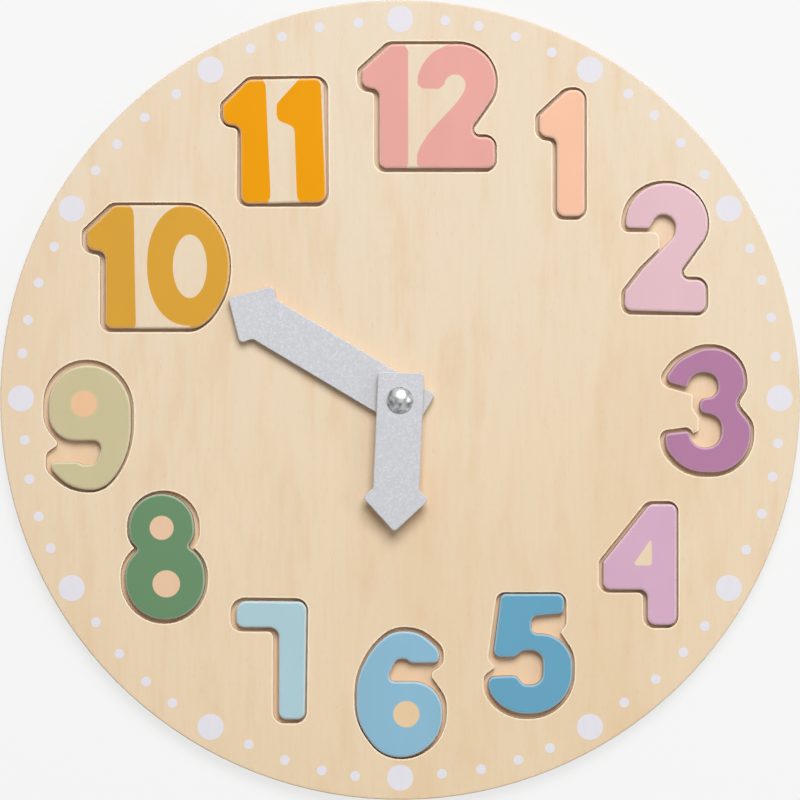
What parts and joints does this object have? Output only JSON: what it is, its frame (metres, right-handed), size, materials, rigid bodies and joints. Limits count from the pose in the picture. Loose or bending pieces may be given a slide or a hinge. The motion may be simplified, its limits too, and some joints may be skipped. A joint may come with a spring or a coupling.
{
  "type": "wooden teaching clock",
  "caption": "Round wooden clock face with lift-out painted number pieces in fitted recesses and two hand-set hands turning on one rivet.",
  "frame": {"origin": "centre of the board's back face", "axes": "+Z out of the clock face, +Y towards twelve o'clock, +X towards three o'clock"},
  "size_m": [0.3, 0.3, 0.0155],
  "materials": {
    "birch": "clear satin lacquer over fine straight grain",
    "birch_back": "plain sanded plywood",
    "silver_paint": "silver grey paint with a fine speckle",
    "nickel": "bright nickel plating",
    "paint_peach": "satin paint on wood",
    "paint_pink": "satin paint on wood",
    "paint_purple": "satin paint on wood",
    "paint_lilac": "satin paint on wood",
    "paint_blue": "satin paint on wood",
    "paint_light_blue": "satin paint on wood",
    "paint_aqua": "satin paint on wood",
    "paint_green": "satin paint on wood",
    "paint_sage": "satin paint on wood",
    "paint_mustard": "satin paint on wood",
    "paint_orange": "satin paint on wood",
    "paint_salmon": "satin paint on wood"
  },
  "bodies": {
    "board": {"face_panel": "birch", "back_panel": "birch_back", "pivot_rivet": "nickel", "face_washer": "nickel", "hand_washer": "nickel", "back_washer": "nickel"},
    "hour_hand": {"hour_hand": "silver_paint"},
    "minute_hand": {"minute_hand": "silver_paint"},
    "number_01": {"number_01": "paint_peach"},
    "number_02": {"number_02": "paint_pink"},
    "number_03": {"number_03": "paint_purple"},
    "number_04": {"number_04": "paint_lilac"},
    "number_05": {"number_05": "paint_blue"},
    "number_06": {"number_06": "paint_light_blue"},
    "number_07": {"number_07": "paint_aqua"},
    "number_08": {"number_08": "paint_green"},
    "number_09": {"number_09": "paint_sage"},
    "number_10": {"number_10": "paint_mustard"},
    "number_11": {"number_11": "paint_orange"},
    "number_12": {"number_12": "paint_salmon"}
  },
  "joints": [
    {"name": "minute_hand_turn", "type": "hinge", "parent": "board", "child": "minute_hand", "pos_m": [0, 0, 0.0065], "axis": [0, 0, -1], "continuous": true},
    {"name": "hour_hand_turn", "type": "hinge", "parent": "board", "child": "hour_hand", "pos_m": [0, 0, 0.01], "axis": [0, 0, -1], "continuous": true},
    {"name": "number_01_lift", "type": "slide", "parent": "board", "child": "number_01", "axis": [0, 0, 1], "range_m": [0, 0.03]},
    {"name": "number_02_lift", "type": "slide", "parent": "board", "child": "number_02", "axis": [0, 0, 1], "range_m": [0, 0.03]},
    {"name": "number_03_lift", "type": "slide", "parent": "board", "child": "number_03", "axis": [0, 0, 1], "range_m": [0, 0.03]},
    {"name": "number_04_lift", "type": "slide", "parent": "board", "child": "number_04", "axis": [0, 0, 1], "range_m": [0, 0.03]},
    {"name": "number_05_lift", "type": "slide", "parent": "board", "child": "number_05", "axis": [0, 0, 1], "range_m": [0, 0.03]},
    {"name": "number_06_lift", "type": "slide", "parent": "board", "child": "number_06", "axis": [0, 0, 1], "range_m": [0, 0.03]},
    {"name": "number_07_lift", "type": "slide", "parent": "board", "child": "number_07", "axis": [0, 0, 1], "range_m": [0, 0.03]},
    {"name": "number_08_lift", "type": "slide", "parent": "board", "child": "number_08", "axis": [0, 0, 1], "range_m": [0, 0.03]},
    {"name": "number_09_lift", "type": "slide", "parent": "board", "child": "number_09", "axis": [0, 0, 1], "range_m": [0, 0.03]},
    {"name": "number_10_lift", "type": "slide", "parent": "board", "child": "number_10", "axis": [0, 0, 1], "range_m": [0, 0.03]},
    {"name": "number_11_lift", "type": "slide", "parent": "board", "child": "number_11", "axis": [0, 0, 1], "range_m": [0, 0.03]},
    {"name": "number_12_lift", "type": "slide", "parent": "board", "child": "number_12", "axis": [0, 0, 1], "range_m": [0, 0.03]}
  ]
}
